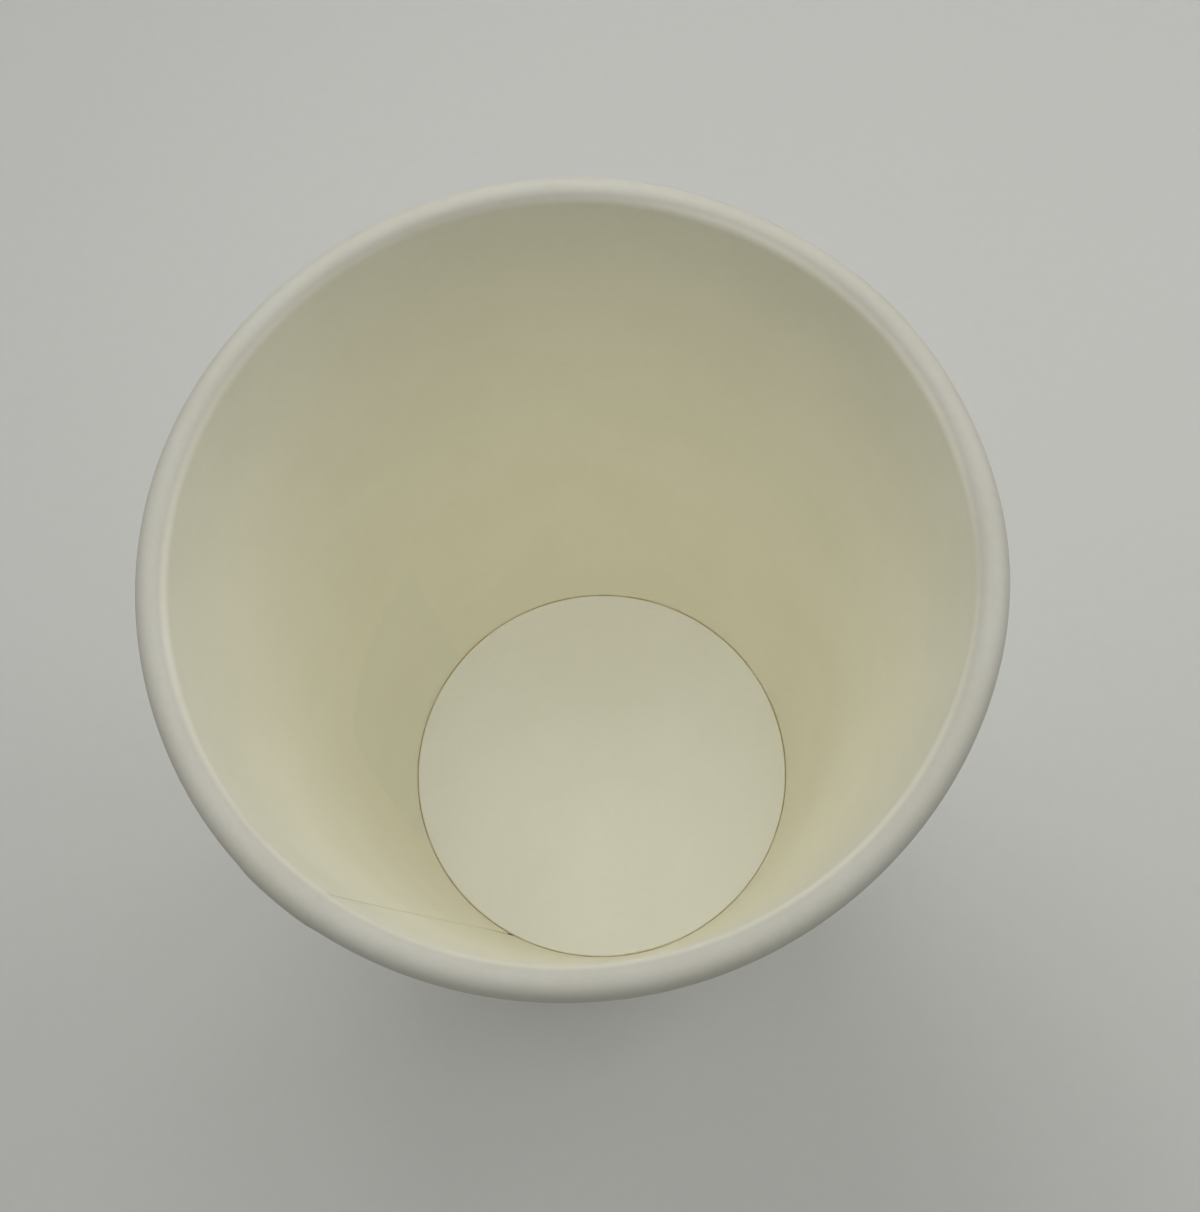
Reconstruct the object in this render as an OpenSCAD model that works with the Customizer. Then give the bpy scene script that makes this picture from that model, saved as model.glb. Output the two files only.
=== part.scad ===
// Single-wall paper cup for a hot drink: a wrapped conical side wall with a rolled rim,
// and a stamped bottom held in the folded base. +Z is up, and the origin is at the middle
// of the base, on the table.

/* [Cup] */
// Height from the table to the top of the rolled rim
cup_h = 112; // [92:1:140]
// Diameter over the rolled rim, which a lid fits
rim_d = 90; // [84:1:96]
// Diameter over the folded base
base_d = 60; // [54:1:66]

/* [Rolled rim] */
// Thickness of the side wall's board with its coating
board_t = 0.4; // [0.3:0.05:0.5]
// Diameter of the roll, seen in section
roll_d = 3.5; // [3:0.1:4.2]
// Air between one turn of the roll and the next
roll_gap = 0.12; // [0.1:0.01:0.2]
// How far the board goes on turning inside the roll after one full turn, in degrees
tuck_angle = 110; // [60:10:150]
// How far the board turns in the roll where the side seam makes it double, in degrees
double_turn = 330; // [300:10:350]

/* [Side seam] */
// Angle round the cup by which the two flaps of the board overlap
lap_angle = 10; // [7:1:14]
// Where the inner flap's cut edge runs, in degrees round from +X
seam_azimuth = 232; // [0:1:359]
// Width over which the outer flap climbs onto the inner one
climb_w = 1.6; // [1:0.1:2.5]
// How much the roll's radius grows where the board is double
seam_bulge = 0.12; // [0.05:0.01:0.2]

/* [Base] */
// Thickness of the bottom's board with its coating
bottom_t = 0.32; // [0.25:0.01:0.4]
// Height of the bottom's upper face above the table
bottom_z = 8.8; // [7.5:0.1:12]
// Radius inside the bend where the bottom turns down into its skirt
bend_r = 0.3; // [0.2:0.05:0.5]
// Height of the side wall's cut edge inside the base
hem_h = 7; // [5:0.1:7.3]
// Radius inside the side wall's two corners at the standing edge
fold_r = 0.06; // [0.04:0.01:0.1]
// Film of coating that seals the bottom's skirt between the layers
seal_gap = 0.03; // [0.02:0.01:0.05]
// Space between the skirt's cut edge and the inside of the fold
skirt_gap = 0.2; // [0.1:0.05:0.4]

/* [Hidden] */

// How far the single board runs on into the doubled one at each side of the lap
merge_angle = 0.1;
// Degrees between the points of an arc, in the roll and in the small bends of the base
roll_step = 10;
bend_step = 15;

// The roll's section in the plane of radius and height: its radius and its centre
roll_r = roll_d / 2;
roll_x = rim_d / 2 - roll_r;
roll_z = cup_h - roll_r;

// The fold's outer corner on a single board, which sets the slope of the wall
corner_x = base_d / 2 - fold_r - board_t;
corner_z = fold_r + board_t;
// Lean of the wall from upright, so that its faces run tangent to the roll and the corner
slope = atan2(roll_x - corner_x, roll_z - corner_z)
    - asin((roll_r + fold_r) / norm([roll_x - corner_x, roll_z - corner_z]));

// In the wall's own axes, u points out across the board and v up along it, from the roll's centre
drink_face_u = -roll_r;
corner_u = drink_face_u - fold_r;
// Room between the wall and its hem, which holds the bottom's skirt
hem_room = bottom_t + 2 * seal_gap;
// Length of the flat strip that the cup stands on, between the fold's two corners
land_w = (hem_room - 2 * fold_r) / cos(slope);
// Direction straight down, as an angle in the wall's axes
down = slope - 90;

// Changes between the wall's own axes and the section's radius and height
function v_at_height(u, z) = (z - roll_z + u * sin(slope)) / cos(slope);
function to_section(p) = [
    roll_x + p.x * cos(slope) + p.y * sin(slope),
    roll_z - p.x * sin(slope) + p.y * cos(slope)
];

// Points on an arc about a centre, both ends included
function arc(centre, r, from, to, step) =
    let (n = ceil(abs(to - from) / step))
    [for (i = [0 : n]) centre + r * [cos(from + (to - from) * i / n), sin(from + (to - from) * i / n)]];

// One face of the board, a depth below its drink side: hem, two corners, wall and roll.
// The board is t thick, and each half turn of the roll has its centre moved by half a pitch.
function board_face(depth, t, bulge, turn) =
    let (
        outer_corner = [corner_u, v_at_height(corner_u, fold_r + t)],
        inner_corner = outer_corner - land_w * [cos(slope), sin(slope)],
        hem_u = inner_corner.x - fold_r,
        r = roll_r + bulge,
        half_pitch = (t + roll_gap) / 2,
        tuck = max(0, turn - 360)
    )
    concat(
        [[hem_u - depth, v_at_height(hem_u - t / 2, hem_h)]],
        arc(inner_corner, fold_r + depth, -180, down, bend_step),
        arc(outer_corner, fold_r + depth, down, 0, bend_step),
        arc([bulge, 0], r - depth, 180, 0, roll_step),
        arc([bulge + half_pitch, 0], r - half_pitch - depth, 0, 180 - min(turn, 360), roll_step),
        tuck > 0 ? arc([bulge, 0], r - 2 * half_pitch - depth, 180, 180 - tuck, roll_step) : []
    );

// Section of the board in radius and height, from the hem's cut edge to the roll's
module board_section(t, bulge, turn) {
    near = board_face(0, t, bulge, turn);
    far = board_face(t, t, bulge, turn);
    outline = concat(near, [for (i = [len(far) - 1 : -1 : 0]) far[i]]);
    polygon([for (p = outline) to_section(p)]);
}

// Wedge along the wall beside the inner flap's cut edge, one board deep from the given face
module flap_wedge(face_u, sunk) {
    low_v = v_at_height(face_u, fold_r + 2 * board_t);
    foot = to_section([face_u, low_v]);
    translate([foot.x, 0, foot.y])
        rotate([0, slope, 0])
            linear_extrude(-roll_r - low_v)
                polygon([[-sunk, 0], [board_t, 0], [0, climb_w], [-sunk, climb_w]]);
}

// The side wall is wrapped from one sheet of board. Its flaps overlap at the side seam, where
// the outer flap climbs over the inner flap's cut edge.
module side_wall() {
    color("#e9e6d8")
        rotate(seam_azimuth)
            difference() {
                union() {
                    rotate(-merge_angle)
                        rotate_extrude(angle = 360 - lap_angle + 2 * merge_angle, $fn = 180)
                            board_section(board_t, 0, 360 + tuck_angle);
                    rotate(-lap_angle)
                        rotate_extrude(angle = lap_angle, $fn = 180)
                            board_section(2 * board_t, seam_bulge, double_turn);
                    flap_wedge(drink_face_u + board_t, board_t / 2);
                }
                flap_wedge(drink_face_u, board_t);
            }
}

// Outline of the bottom in radius and height: a flat disc, a bend and a skirt along the wall
function bottom_outline() =
    let (
        outer_u = drink_face_u - seal_gap,
        inner_u = outer_u - bottom_t,
        bend_u = inner_u - bend_r,
        bend = to_section([bend_u, v_at_height(bend_u, bottom_z - bottom_t - bend_r)]),
        edge_v = v_at_height(outer_u, fold_r + 2 * board_t + skirt_gap)
    )
    concat(
        [[0, bottom_z], [0, bottom_z - bottom_t]],
        arc(bend, bend_r, 90, -slope, bend_step),
        [to_section([inner_u, edge_v]), to_section([outer_u, edge_v])],
        arc(bend, bend_r + bottom_t, -slope, 90, bend_step)
    );

// The bottom is stamped like an upturned pan, and its skirt is sealed between wall and hem
module bottom() {
    color("#e4e3d6")
        rotate_extrude($fn = 180)
            polygon(bottom_outline());
}

side_wall();
bottom();
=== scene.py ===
import math
import bpy
import numpy as np
from mathutils import Matrix, Vector


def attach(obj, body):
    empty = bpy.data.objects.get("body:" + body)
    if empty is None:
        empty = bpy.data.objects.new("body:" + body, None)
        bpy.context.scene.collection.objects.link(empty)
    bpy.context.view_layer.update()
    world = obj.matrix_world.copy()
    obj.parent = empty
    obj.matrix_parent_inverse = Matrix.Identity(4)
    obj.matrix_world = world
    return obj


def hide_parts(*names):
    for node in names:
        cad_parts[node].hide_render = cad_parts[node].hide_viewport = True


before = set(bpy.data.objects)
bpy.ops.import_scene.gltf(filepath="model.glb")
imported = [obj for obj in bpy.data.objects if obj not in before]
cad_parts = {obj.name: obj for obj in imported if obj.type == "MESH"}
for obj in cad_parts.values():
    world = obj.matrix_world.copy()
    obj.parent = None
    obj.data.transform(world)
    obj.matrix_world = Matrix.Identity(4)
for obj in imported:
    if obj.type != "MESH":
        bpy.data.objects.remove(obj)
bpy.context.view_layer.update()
print("frame loaded:", ", ".join(sorted(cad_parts)))
for unused in ("Cube", "Light", "Camera"):  # Blender's own starting objects
    if unused in bpy.data.objects:
        bpy.data.objects.remove(bpy.data.objects[unused])

mm = 0.001

# Sizes shared by the two pieces of board, in metres. The wall is drawn in axes of its own:
# u points out across the board, v up along it, and both start at the centre of the roll.
cup = {
    "height": 112 * mm,
    "rimDiameter": 90 * mm,
    "baseDiameter": 60 * mm,
    "board": 0.4 * mm,
    "bottomBoard": 0.32 * mm,
    "rollDiameter": 3.5 * mm,
    "foldRadius": 0.06 * mm,
    "sealFilm": 0.03 * mm,
    "bottomLevel": 8.8 * mm,
}
rollRadius = cup["rollDiameter"] / 2
rollX = cup["rimDiameter"] / 2 - rollRadius
rollZ = cup["height"] - rollRadius
cornerX = cup["baseDiameter"] / 2 - cup["foldRadius"] - cup["board"]
cornerZ = cup["foldRadius"] + cup["board"]
cornerToRoll = math.hypot(rollX - cornerX, rollZ - cornerZ)
wallLean = (math.atan2(rollX - cornerX, rollZ - cornerZ)
            - math.asin((rollRadius + cup["foldRadius"]) / cornerToRoll))
drinkFace = -rollRadius  # u of the wall's face on the drink's side
hemRoom = cup["bottomBoard"] + 2 * cup["sealFilm"]
standWidth = hemRoom - 2 * cup["foldRadius"]  # flat strip between the fold's two corners


def toSection(u, v):
    # radius and height of a point given in the wall's own axes
    return (rollX + u * math.cos(wallLean) + v * math.sin(wallLean),
            rollZ - u * math.sin(wallLean) + v * math.cos(wallLean))


def vAtHeight(u, z):
    return (z - rollZ + u * math.sin(wallLean)) / math.cos(wallLean)


def smooth(x):
    # eases from 0 to 1 while x goes from 0 to 1
    x = np.clip(x, 0, 1)
    return x * x * (3 - 2 * x)


# Drawing in edit mode

def startPoint(name, x, z):
    # a small plane drawn together into one vertex, from which a section is extruded
    bpy.ops.object.select_all(action="DESELECT")
    bpy.ops.mesh.primitive_plane_add(size=mm)
    piece = bpy.context.object
    piece.name = name
    piece.data.name = name
    bpy.ops.object.mode_set(mode="EDIT")
    bpy.ops.mesh.merge(type="CENTER")
    bpy.ops.transform.translate(value=(x, 0, z))
    return piece


def lineBy(dx, dz, rows=1):
    for _ in range(rows):
        bpy.ops.mesh.extrude_region_move(TRANSFORM_OT_translate={"value": (dx / rows, 0, dz / rows)})


def arcRound(centre, degrees, stepSize):
    # spins the last vertex in the section's plane, anticlockwise with the radius to the right
    steps = math.ceil(abs(degrees) / stepSize)
    bpy.ops.mesh.spin(steps=steps, angle=math.radians(degrees), center=(centre[0], 0, centre[1]),
                      axis=(0, 1, 0))


def spinSection(degrees, steps):
    # sweeps the finished section round the cup's axis and leaves edit mode
    bpy.ops.mesh.select_all(action="SELECT")
    bpy.ops.mesh.spin(steps=steps, angle=math.radians(-degrees), center=(0, 0, 0), axis=(0, 0, 1))
    bpy.ops.object.mode_set(mode="OBJECT")


def points(piece):
    co = np.empty(len(piece.data.vertices) * 3)
    piece.data.vertices.foreach_get("co", co)
    return co.reshape(-1, 3)


def setPoints(piece, co):
    piece.data.vertices.foreach_set("co", co.ravel())
    piece.data.update()


def pointNormals(piece):
    n = np.empty(len(piece.data.vertices) * 3)
    piece.data.vertex_normals.foreach_get("vector", n)
    return n.reshape(-1, 3)


def thicken(piece, thickness, drinkSide, pressed=None):
    # gives the sheet its board; its back and its cut edges take the second and third finish
    for finish in (drinkSide, plainBoard, cutEdge):
        piece.data.materials.append(finish)
    board = piece.modifiers.new("board", "SOLIDIFY")
    if pressed:
        board.vertex_group = pressed
    board.thickness = thickness
    board.offset = -1
    board.use_even_offset = True
    board.use_quality_normals = True
    board.material_offset = 1
    board.material_offset_rim = 2
    bpy.context.view_layer.objects.active = piece
    bpy.ops.object.modifier_apply(modifier=board.name)
    piece.vertex_groups.clear()


def finishPiece(piece, node, sharpAngle):
    bpy.ops.object.select_all(action="DESELECT")
    piece.select_set(True)
    bpy.context.view_layer.objects.active = piece
    bpy.ops.object.shade_smooth_by_angle(angle=math.radians(sharpAngle))
    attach(piece, "root")
    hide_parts(node)
    print(piece.name, "has", sum(len(p.vertices) - 2 for p in piece.data.polygons), "triangles")


# Shader graphs

class Wire:
    # one output socket, on which sums and products add Math nodes
    def __init__(self, graph, socket):
        self.graph = graph
        self.socket = socket

    def maths(self, operation, other, flipped=False):
        pair = [other, self] if flipped else [self, other]
        return self.graph.add("ShaderNodeMath", {"operation": operation}, dict(enumerate(pair)))

    def __add__(self, other):
        return self.maths("ADD", other)

    def __radd__(self, other):
        return self.maths("ADD", other, True)

    def __sub__(self, other):
        return self.maths("SUBTRACT", other)

    def __rsub__(self, other):
        return self.maths("SUBTRACT", other, True)

    def __mul__(self, other):
        return self.maths("MULTIPLY", other)

    def __rmul__(self, other):
        return self.maths("MULTIPLY", other, True)

    def __pow__(self, other):
        return self.maths("POWER", other)


class Graph:
    def __init__(self, name):
        self.material = bpy.data.materials.new(name)
        self.material.use_nodes = True
        self.tree = self.material.node_tree
        self.shader = self.tree.nodes["Principled BSDF"]

    def add(self, kind, settings, inputs, output=0):
        node = self.tree.nodes.new(kind)
        for key, value in settings.items():
            setattr(node, key, value)
        for key, value in inputs.items():
            self.feed(node.inputs[key], value)
        return Wire(self, node.outputs[output])

    def feed(self, socket, value):
        if isinstance(value, Wire):
            self.tree.links.new(value.socket, socket)
        else:
            socket.default_value = value

    def blend(self, factor, first, second):
        # mixes two colours
        settings = {"data_type": "RGBA"}
        return self.add("ShaderNodeMix", settings, {"Factor": factor, 6: first, 7: second}, 2)

    def ease(self, value, low, high, toLow=0.0, toHigh=1.0):
        settings = {"interpolation_type": "SMOOTHSTEP"}
        inputs = {0: value, 1: low, 2: high, 3: toLow, 4: toHigh}
        return self.add("ShaderNodeMapRange", settings, inputs)

    def noise(self, vector, scale, detail=2.0, roughness=0.5):
        inputs = {"Vector": vector, "Scale": scale, "Detail": detail, "Roughness": roughness}
        return self.add("ShaderNodeTexNoise", {}, inputs)

    def place(self):
        return self.add("ShaderNodeTexCoord", {}, {}, 3)

    def split(self, vector):
        node = self.tree.nodes.new("ShaderNodeSeparateXYZ")
        self.feed(node.inputs[0], vector)
        return [Wire(self, node.outputs[i]) for i in range(3)]

    def finish(self, values):
        for key, value in values.items():
            self.feed(self.shader.inputs[key], value)
        return self.material


def colour(red, green, blue):
    # a shader colour from values of 0 to 255 as they look on a screen
    def linear(c):
        c = c / 255
        return c / 12.92 if c <= 0.04045 else ((c + 0.055) / 1.055) ** 2.4
    return (linear(red), linear(green), linear(blue), 1.0)


# Finishes

boardLook = {
    "coated": colour(247, 245, 230),
    "coatedDeep": colour(244, 242, 226),
    # darker tones for the roll: painted shade over the rim
    "rolled": colour(218, 216, 203),
    "rolledDeep": colour(213, 211, 196),
    "floor": colour(248, 248, 245),
    "floorDeep": colour(245, 245, 240),
    "plain": colour(242, 240, 228),
    "plainDeep": colour(233, 231, 218),
    "edge": colour(243, 240, 228),
    # sizes of the patterns, as noise scales, for the coated side and for the bare one
    "clouds": (55.0, 70.0),
    "fibres": (900.0, 1500.0),
    "peel": 2200.0,
    "fibreStretch": (1.0, 1.0, 0.35),
    "roughness": (0.64, 0.78),
    "roughnessSpread": 0.14,
}
groove = {
    # heights over the bottom's face between which the darker tint of the groove sets in, on the wall and
    # on the bottom
    "wall": (0.10 * mm, -0.15 * mm),
    "floor": (-0.04 * mm, -0.25 * mm),
    "patches": 160.0,       # noise scale of its uneven patches
    "least": 0.35,          # how much of the tint is left where it is thinnest
    # a browner tone: the glue line, with painted shade of the crevice
    "colour": colour(230, 216, 178),
}
reflectionAndSpeck = {
    # the patch is a painted reflection, the crescent that light thrown back off the bottom makes on the
    # wall; the speck is real
    "reflectionFrom": 134,       # degrees round from +X
    "reflectionFalls": 176,
    "reflectionTo": 198,
    "reflectionTop": 45 * mm,
    "reflectionDrop": 26 * mm,   # how much lower its top edge is at its far end
    "reflectionSoftness": 1.0,   # degrees over which its near end fades
    "reflectionColour": colour(236, 236, 230),
    "reflectionStrength": 0.35,
    "speckAt": (-24.5 * mm, -24.5 * mm, 47.8 * mm),
    "speckRadius": (0.32 * mm, 0.1 * mm),  # where it ends and where it is full
    "speckColour": colour(176, 166, 130),
}


def addReflectionAndSpeck(g, tone, place, x, y, z):
    # a painted reflection low on the left of the wall, the faint crescent that light thrown back off the
    # bottom makes there, and one speck in the pulp
    way = g.add("ShaderNodeMath", {"operation": "ARCTAN2"}, {0: 0 - y, 1: 0 - x}) * (180 / math.pi) + 180
    fall = g.ease(way, reflectionAndSpeck["reflectionFalls"], reflectionAndSpeck["reflectionTo"])
    top = reflectionAndSpeck["reflectionTop"] - reflectionAndSpeck["reflectionDrop"] * fall
    soft = reflectionAndSpeck["reflectionSoftness"]
    inside = (g.ease(way, reflectionAndSpeck["reflectionFrom"] - soft, reflectionAndSpeck["reflectionFrom"] + soft)
              * g.ease(z - top, 1 * mm, -1.5 * mm)
              * g.ease(way, reflectionAndSpeck["reflectionTo"] + 2, reflectionAndSpeck["reflectionTo"] - 5))
    tone = g.blend(inside * reflectionAndSpeck["reflectionStrength"], tone, reflectionAndSpeck["reflectionColour"])
    away = g.add("ShaderNodeVectorMath", {"operation": "DISTANCE"}, {0: place, 1: reflectionAndSpeck["speckAt"]}, 1)
    return g.blend(g.ease(away, *reflectionAndSpeck["speckRadius"]), tone, reflectionAndSpeck["speckColour"])


def coatedFinish(name, light, deep, rolled=None):
    # board under a thin film: cloudy fibres below, a soft sheen and fine orange peel on top
    g = Graph(name)
    place = g.place()
    cloud = g.noise(place, boardLook["clouds"][0], 2.0, 0.55)
    fibre = g.noise(place, boardLook["fibres"][0], 2.0, 0.6)
    peel = g.noise(place, boardLook["peel"], 1.0, 0.5)
    mix = g.ease(cloud * 0.7 + fibre * 0.3, 0.35, 0.65)
    normal = g.add("ShaderNodeBump", {}, {"Strength": 0.2, "Distance": 0.03 * mm, "Height": peel})
    tone = g.blend(mix, light, deep)
    x, y, z = g.split(place)
    if rolled:
        # the roll takes a darker tone from where the board turns over into it: painted shade, standing
        # for the shade that falls over the near side of the rim
        radius = (x ** 2 + y ** 2) ** 0.5
        across = (radius - rollX) * math.cos(wallLean) - (z - rollZ) * math.sin(wallLean)
        over = g.ease(across, drinkFace + 0.02 * mm, drinkFace + 0.6 * mm)
        tone = g.blend(over, tone, g.blend(mix, *rolled))
        tone = addReflectionAndSpeck(g, tone, place, x, y, z)
    # the groove round the bottom is tinted darker and browner, unevenly: partly the glue line at the
    # joint, partly painted shade in the crevice
    clear, full = groove["wall" if rolled else "floor"]
    uneven = g.ease(g.noise(place, groove["patches"], 1.0, 0.6), 0.38, 0.56, groove["least"], 1.0)
    glueLineAndShade = g.ease(z, cup["bottomLevel"] + clear, cup["bottomLevel"] + full) * uneven
    tone = g.blend(glueLineAndShade, tone, groove["colour"])
    return g.finish({
        "Base Color": tone,
        "Roughness": boardLook["roughness"][0] + boardLook["roughnessSpread"] * fibre,
        "Normal": normal,
    })


def plainFinish(name, light, deep):
    # bare board: matt, with fibres that lie mostly one way
    g = Graph(name)
    place = g.place()
    cloud = g.noise(place, boardLook["clouds"][1], 4.0, 0.6)
    grain = g.add("ShaderNodeMapping", {}, {"Vector": place, "Scale": boardLook["fibreStretch"]})
    fibre = g.noise(grain, boardLook["fibres"][1], 4.0, 0.65)
    mix = g.ease(cloud * 0.5 + fibre * 0.5, 0.35, 0.65)
    normal = g.add("ShaderNodeBump", {}, {"Strength": 0.35, "Distance": 0.05 * mm, "Height": fibre})
    return g.finish({
        "Base Color": g.blend(mix, light, deep),
        "Roughness": boardLook["roughness"][1] + boardLook["roughnessSpread"] * fibre,
        "Normal": normal,
    })


rolled = (boardLook["rolled"], boardLook["rolledDeep"])
coatedWall = coatedFinish("coated_wall", boardLook["coated"], boardLook["coatedDeep"], rolled)
plainBoard = plainFinish("plain_board", boardLook["plain"], boardLook["plainDeep"])
cutEdge = plainFinish("cut_edge", boardLook["edge"], boardLook["plain"])
coatedBottom = coatedFinish("coated_bottom", boardLook["floor"], boardLook["floorDeep"])
print("finishes made")


# The side wall: one sheet, wrapped so that its two flaps lie over each other at the seam

sheet = {
    "seamAtBase": 234.3,    # degrees round from +X, where the inner flap's cut edge runs
    "seamAtRim": 229.8,
    "lap": 10,              # degrees by which the flaps overlap
    "climb": 2.2,           # degrees over which the outer flap climbs onto the inner one
    "thinning": 3.0,        # degrees over which the inner flap is pressed thin toward its cut edge
    "leftAtBase": 0.7,      # share of the board's thickness left at that edge
    "leftAtRim": 0.06,
    "thinsWithin": 24 * mm,  # height over the bottom by which the edge is as thin as at the rim
    "filmBetween": 0.015 * mm,
    "seamBulge": 0.10 * mm,  # how far the double board pushes the roll's face out
    "bulgeFrom": 0.6,       # where that starts below the roll's centre, as a share of its radius
    # where the rim is a little out of round: degrees round from +X, spread, and how far it moves out
    "rimPulls": ((54, 14, -0.34), (15, 11, -0.12), (347, 11, 0.16), (311, 16, -0.18),
                 (223, 12, 0.12), (187, 13, -0.15), (110, 15, 0.08)),
    "foot": (2 * mm, 10 * mm),  # heights between which the room made at the foot fades out
    "footLift": 0.016 * mm,  # keeps the folded edge clear of the table
    "rollGap": 0.12 * mm,   # air between one turn of the roll and the next
    "tuck": 110,            # degrees that the board goes on turning inside the roll
    "slack": 0.5,           # degrees by which the cut tuck stays clear of the double board
    "hemTop": 7.0 * mm,
    "wallRows": 14,
    "cornerStep": 22,       # degrees between the points of an arc at the foot
    "rollSteps": (11, 12, 14),  # and in each of the three arcs of the roll
    "stepsPerTurn": 480,
    "sharpFrom": 50,        # degrees between two faces from which their edge stays sharp
}


def buildSideWall():
    board = cup["board"]
    fold = cup["foldRadius"]
    lean = math.degrees(wallLean)
    outerU = drinkFace - fold
    outerCorner = toSection(outerU, vAtHeight(outerU, cornerZ))
    innerCorner = (outerCorner[0] - standWidth, outerCorner[1])
    hemU = drinkFace - 2 * fold - standWidth / math.cos(wallLean)
    hemFoot = (innerCorner[0] - fold * math.cos(wallLean), innerCorner[1] + fold * math.sin(wallLean))
    hemHead = toSection(hemU, vAtHeight(hemU, sheet["hemTop"]))
    wallFoot = (outerCorner[0] + fold * math.cos(wallLean), outerCorner[1] - fold * math.sin(wallLean))
    wallHead = toSection(drinkFace, 0)
    halfPitch = (board + sheet["rollGap"]) / 2
    lowerCentre = toSection(halfPitch, 0)

    piece = startPoint("side_wall_board", *hemHead)
    lineBy(hemFoot[0] - hemHead[0], hemFoot[1] - hemHead[1], 3)
    arcRound(innerCorner, 90 - lean, sheet["cornerStep"])
    lineBy(standWidth, 0)
    arcRound(outerCorner, 90 + lean, sheet["cornerStep"])
    lineBy(wallHead[0] - wallFoot[0], wallHead[1] - wallFoot[1], sheet["wallRows"])
    firstTurn, secondTurn, tuckTurn = sheet["rollSteps"]
    arcRound((rollX, rollZ), -180, firstTurn)
    arcRound(lowerCentre, -180, secondTurn)
    arcRound((rollX, rollZ), -sheet["tuck"], tuckTurn)
    lap = sheet["lap"]
    steps = round((360 + lap) * sheet["stepsPerTurn"] / 360)
    spinSection(360 + lap, steps)
    shapeSeam(piece, steps)
    thicken(piece, board, coatedWall, "pressed")
    finishPiece(piece, "side_wall", sheet["sharpFrom"])


def shapeSeam(piece, steps):
    # steps the outer flap out over the inner one, and makes room for both in the foot and the roll
    board = cup["board"]
    lap = sheet["lap"]
    co = points(piece)
    perStep = len(co) // (steps + 1)
    turned = np.repeat(np.arange(steps + 1), perStep) * (360 + lap) / steps - lap
    radius = np.hypot(co[:, 0], co[:, 1])
    u = (radius - rollX) * math.cos(wallLean) - (co[:, 2] - rollZ) * math.sin(wallLean)
    v = (radius - rollX) * math.sin(wallLean) + (co[:, 2] - rollZ) * math.cos(wallLean)

    # normals that point away from the drink, so from the inner flap to the outer one
    normals = pointNormals(piece)
    straight = (v < -rollRadius) & (co[:, 2] > sheet["foot"][1])
    outward = (normals[straight, :2] * co[straight, :2]).sum()
    if outward > 0:
        bpy.ops.object.mode_set(mode="EDIT")
        bpy.ops.mesh.select_all(action="SELECT")
        bpy.ops.mesh.flip_normals()
        bpy.ops.object.mode_set(mode="OBJECT")
    else:
        normals = -normals

    # share of the thickness that is left, seen from the cut edge of the inner flap
    leftAtEdge = (sheet["leftAtRim"] + (sheet["leftAtBase"] - sheet["leftAtRim"])
                  * (1 - smooth((co[:, 2] - cup["bottomLevel"]) / sheet["thinsWithin"])))
    fromEdge = np.where(turned < 180, turned, turned - 360)
    left = 1 - (1 - leftAtEdge) * smooth(fromEdge / sheet["thinning"] + 1)
    group = piece.vertex_groups.new(name="pressed")
    for i, share in enumerate(np.where(turned > 180, left, 1.0)):
        group.add([i], share, "REPLACE")

    under = 1 - smooth(turned / sheet["climb"])  # 1 on the outer flap's lap, 0 past its climb
    over = smooth((turned - 360 + lap + sheet["climb"]) / sheet["climb"])  # the same for the inner flap
    inRoll = smooth(v / (sheet["bulgeFrom"] * rollRadius) + 1)
    co += normals * (under * (board * left + sheet["filmBetween"]))[:, None]
    co -= normals * (np.maximum(under, over) * inRoll * sheet["seamBulge"])[:, None]
    footEnds, wallStarts = sheet["foot"]
    nearFoot = 1 - smooth((co[:, 2] - footEnds) / (wallStarts - footEnds))
    co[:, 2] += nearFoot * (np.maximum(under, over) * board + sheet["footLift"])
    # turns the seam to its place, and pulls the rim a little out of round
    rise = np.clip(co[:, 2] / cup["height"], 0, 1)
    seam = sheet["seamAtBase"] + (sheet["seamAtRim"] - sheet["seamAtBase"]) * rise
    way = np.arctan2(co[:, 1], co[:, 0]) + np.radians(seam - lap)
    radius = np.hypot(co[:, 0], co[:, 1])
    for middle, spread, amount in sheet["rimPulls"]:
        away = (np.degrees(way) - middle + 180) % 360 - 180
        radius += amount * mm * np.exp(-0.5 * (away / spread) ** 2) * rise ** 2
    setPoints(piece, np.column_stack((radius * np.cos(way), radius * np.sin(way), co[:, 2])))

    # where the board is double it turns once only, so the tuck inside the roll is cut away
    inTuck = (v > -0.05 * mm) & (np.hypot(u, v) < rollRadius - 0.8 * board)
    double = (turned < sheet["climb"] + sheet["slack"]) | (turned > 360 - lap - sheet["slack"])
    cut = inTuck & double
    bpy.ops.object.mode_set(mode="EDIT")
    bpy.ops.mesh.select_all(action="DESELECT")
    bpy.ops.mesh.select_mode(type="VERT")
    bpy.ops.object.mode_set(mode="OBJECT")
    piece.data.vertices.foreach_set("select", cut)
    bpy.ops.object.mode_set(mode="EDIT")
    bpy.ops.mesh.delete(type="VERT")
    bpy.ops.object.mode_set(mode="OBJECT")


buildSideWall()


# The bottom: a disc stamped like an upturned pan, with its skirt held in the base

pan = {
    "bendRadius": 0.06 * mm,
    "skirtGap": 0.2 * mm,
    "floorRings": 12,
    "bendStep": 12,         # degrees between the points of the bend
    "steps": 360,
    "sharpFrom": 50,
}


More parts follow.
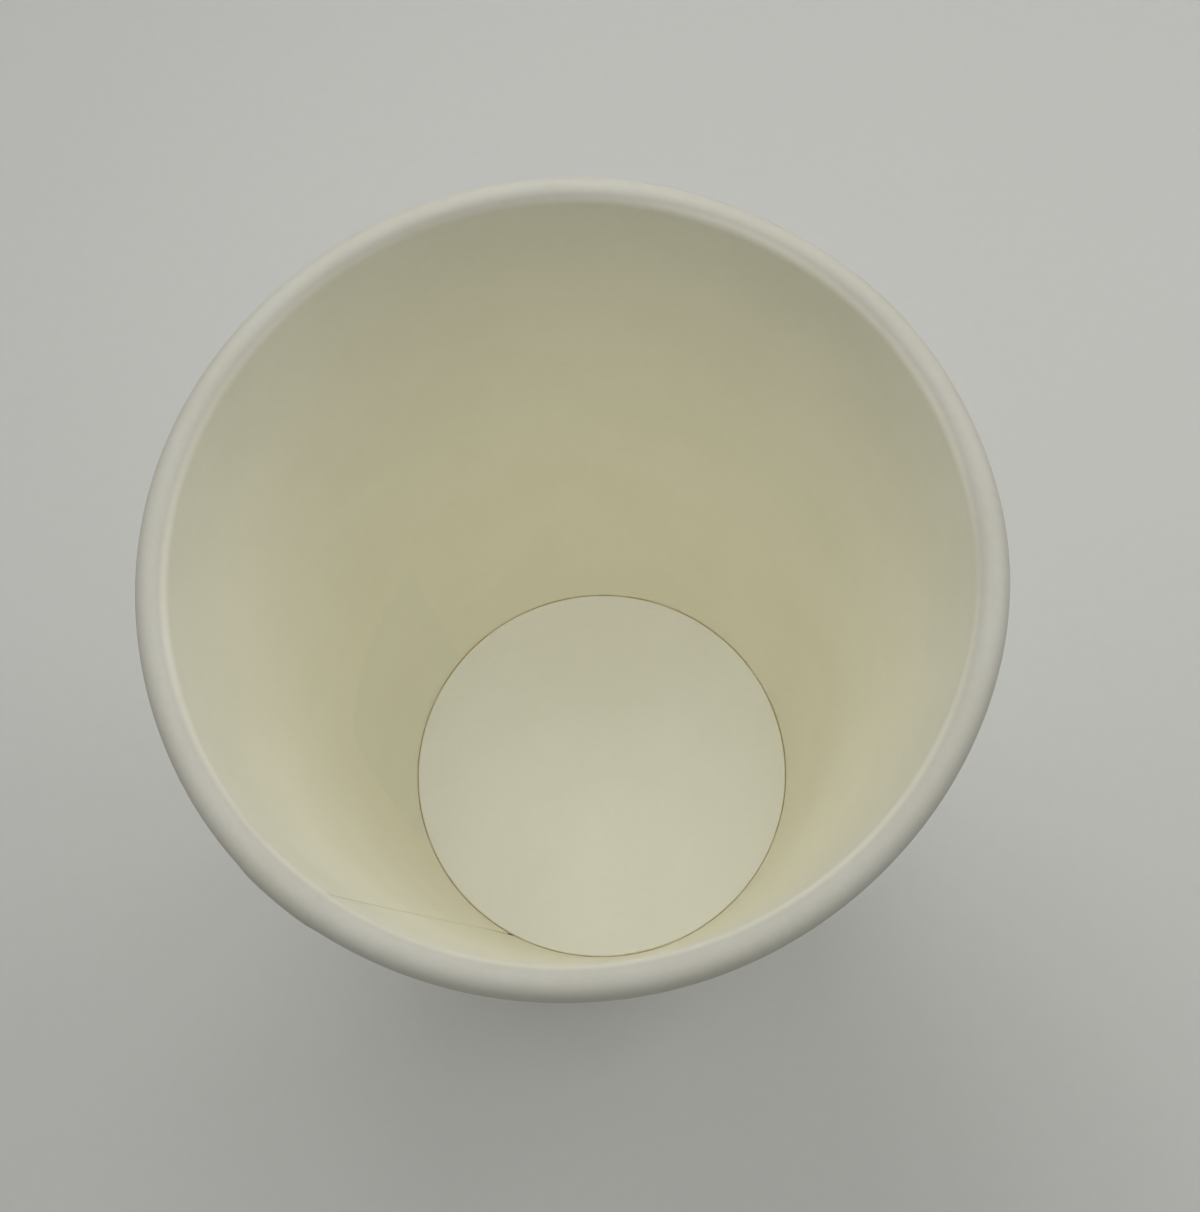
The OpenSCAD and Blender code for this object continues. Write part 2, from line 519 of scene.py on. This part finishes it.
def buildBottom():
    board = cup["bottomBoard"]
    outerU = drinkFace - cup["sealFilm"]
    bendU = outerU - board - pan["bendRadius"]
    bendZ = cup["bottomLevel"] - board - pan["bendRadius"]
    bend = toSection(bendU, vAtHeight(bendU, bendZ))
    bendOuter = pan["bendRadius"] + board
    skirtHead = (bend[0] + bendOuter * math.cos(wallLean), bend[1] - bendOuter * math.sin(wallLean))
    edgeV = vAtHeight(outerU, cup["foldRadius"] + 2 * cup["board"] + pan["skirtGap"])
    skirtFoot = toSection(outerU, edgeV)

    piece = startPoint("bottom_board", 0, cup["bottomLevel"])
    lineBy(bend[0], 0, pan["floorRings"])
    arcRound(bend, -90 - math.degrees(wallLean), pan["bendStep"])
    lineBy(skirtFoot[0] - skirtHead[0], skirtFoot[1] - skirtHead[1], 4)
    spinSection(360, pan["steps"])
    bpy.ops.object.mode_set(mode="EDIT")
    bpy.ops.mesh.select_all(action="SELECT")
    bpy.ops.mesh.remove_doubles(threshold=0.001 * mm)
    bpy.ops.mesh.normals_make_consistent(inside=False)
    bpy.ops.object.mode_set(mode="OBJECT")
    middle = min(piece.data.polygons, key=lambda f: f.center.xy.length)
    if middle.normal.z < 0:
        bpy.ops.object.mode_set(mode="EDIT")
        bpy.ops.mesh.select_all(action="SELECT")
        bpy.ops.mesh.flip_normals()
        bpy.ops.object.mode_set(mode="OBJECT")
    thicken(piece, board, coatedBottom)
    finishPiece(piece, "bottom", pan["sharpFrom"])


buildBottom()


# Table

tableLook = {
    "side": 3.0,
    "colour": colour(232, 232, 227),
    "deepShare": 0.96,      # how bright the darker grain is beside that colour
}


def addTable():
    bpy.ops.object.select_all(action="DESELECT")
    bpy.ops.mesh.primitive_plane_add(size=tableLook["side"])
    table = bpy.context.object
    table.name = "table"
    g = Graph("table_top")
    speckle = g.noise(g.place(), 400.0, 3.0, 0.6)
    deep = [tableLook["deepShare"] * c for c in tableLook["colour"][:3]] + [1.0]
    table.data.materials.append(g.finish({
        "Base Color": g.blend(speckle, tableLook["colour"], deep),
        "Roughness": 0.55,
    }))


addTable()


# Camera and light

view = {
    "place": (1.7 * mm, -56.5 * mm, 149.6 * mm),  # from the roll's centre plane on the cup's axis
    "pitch": 18.66,
    "yaw": -1.05,
    "roll": -6.2,
    "focalPixels": 1547,
    "imageHeight": 1212,
    "sensor": 36,
}


def addCamera():
    data = bpy.data.cameras.new("photo_view")
    camera = bpy.data.objects.new("photo_view", data)
    bpy.context.collection.objects.link(camera)
    data.sensor_width = view["sensor"]
    data.lens = view["focalPixels"] / view["imageHeight"] * data.sensor_width
    turn = (Matrix.Rotation(math.radians(view["yaw"]), 4, "Z")
            @ Matrix.Rotation(math.radians(view["pitch"]), 4, "X")
            @ Matrix.Rotation(math.radians(view["roll"]), 4, "Z"))
    camera.matrix_world = Matrix.Translation(Vector(view["place"]) + Vector((0, 0, rollZ))) @ turn
    bpy.context.scene.camera = camera


lamps = {
    # name: place, side, watts
    "far left": ((-0.15, 0.35, 0.6), 0.3, 0.24),
    "low right": ((0.35, 0.15, 0.35), 0.3, 0.36),
    "low left": ((-0.3, 0.15, 0.4), 0.3, 0.07),
    "overhead": ((0.0, -0.15, 1.0), 0.3, 0.86),
    "behind": ((0.0, 0.14, 0.32), 0.12, 0.17),
}
room = {"fromAllRound": 0.05, "fromAbove": 0.26}  # strengths of the soft light
aim = Vector((0, 0, 50 * mm))  # where every lamp points


def addLamps():
    for name, (place, side, watts) in lamps.items():
        data = bpy.data.lights.new(name, "AREA")
        data.size = side
        data.energy = watts
        lamp = bpy.data.objects.new(name, data)
        bpy.context.collection.objects.link(lamp)
        lamp.visible_camera = False
        lamp.location = place
        lamp.rotation_euler = (aim - Vector(place)).to_track_quat("-Z", "Y").to_euler()


def addSurroundings():
    # soft light from all round, and a pale background where the camera sees past the table
    world = bpy.context.scene.world or bpy.data.worlds.new("room")
    bpy.context.scene.world = world
    world.use_nodes = True
    tree = world.node_tree
    tree.nodes.clear()
    rays = tree.nodes.new("ShaderNodeLightPath")
    seen = tree.nodes.new("ShaderNodeMath")
    seen.operation = "MAXIMUM"
    tree.links.new(rays.outputs["Is Camera Ray"], seen.inputs[0])
    tree.links.new(rays.outputs["Is Glossy Ray"], seen.inputs[1])
    way = tree.nodes.new("ShaderNodeTexCoord")
    axes = tree.nodes.new("ShaderNodeSeparateXYZ")
    tree.links.new(way.outputs["Generated"], axes.inputs[0])
    above = tree.nodes.new("ShaderNodeMath")
    above.operation = "MAXIMUM"
    above.inputs[1].default_value = 0.0
    tree.links.new(axes.outputs[2], above.inputs[0])
    level = tree.nodes.new("ShaderNodeMath")
    level.operation = "MULTIPLY_ADD"
    level.inputs[1].default_value = room["fromAbove"]
    level.inputs[2].default_value = room["fromAllRound"]
    tree.links.new(above.outputs[0], level.inputs[0])
    soft = tree.nodes.new("ShaderNodeBackground")
    soft.inputs["Color"].default_value = (1, 1, 1, 1)
    tree.links.new(level.outputs[0], soft.inputs["Strength"])
    pale = tree.nodes.new("ShaderNodeBackground")
    pale.inputs["Color"].default_value = tableLook["colour"]
    pale.inputs["Strength"].default_value = 1.0
    mix = tree.nodes.new("ShaderNodeMixShader")
    out = tree.nodes.new("ShaderNodeOutputWorld")
    tree.links.new(seen.outputs[0], mix.inputs[0])
    tree.links.new(soft.outputs[0], mix.inputs[1])
    tree.links.new(pale.outputs[0], mix.inputs[2])
    tree.links.new(mix.outputs[0], out.inputs["Surface"])


addCamera()
addLamps()
addSurroundings()
bpy.context.scene.view_settings.view_transform = "Standard"
bpy.context.scene.cycles.max_bounces = 12  # the pale cavity passes light on many times
bpy.context.scene.cycles.diffuse_bounces = 8
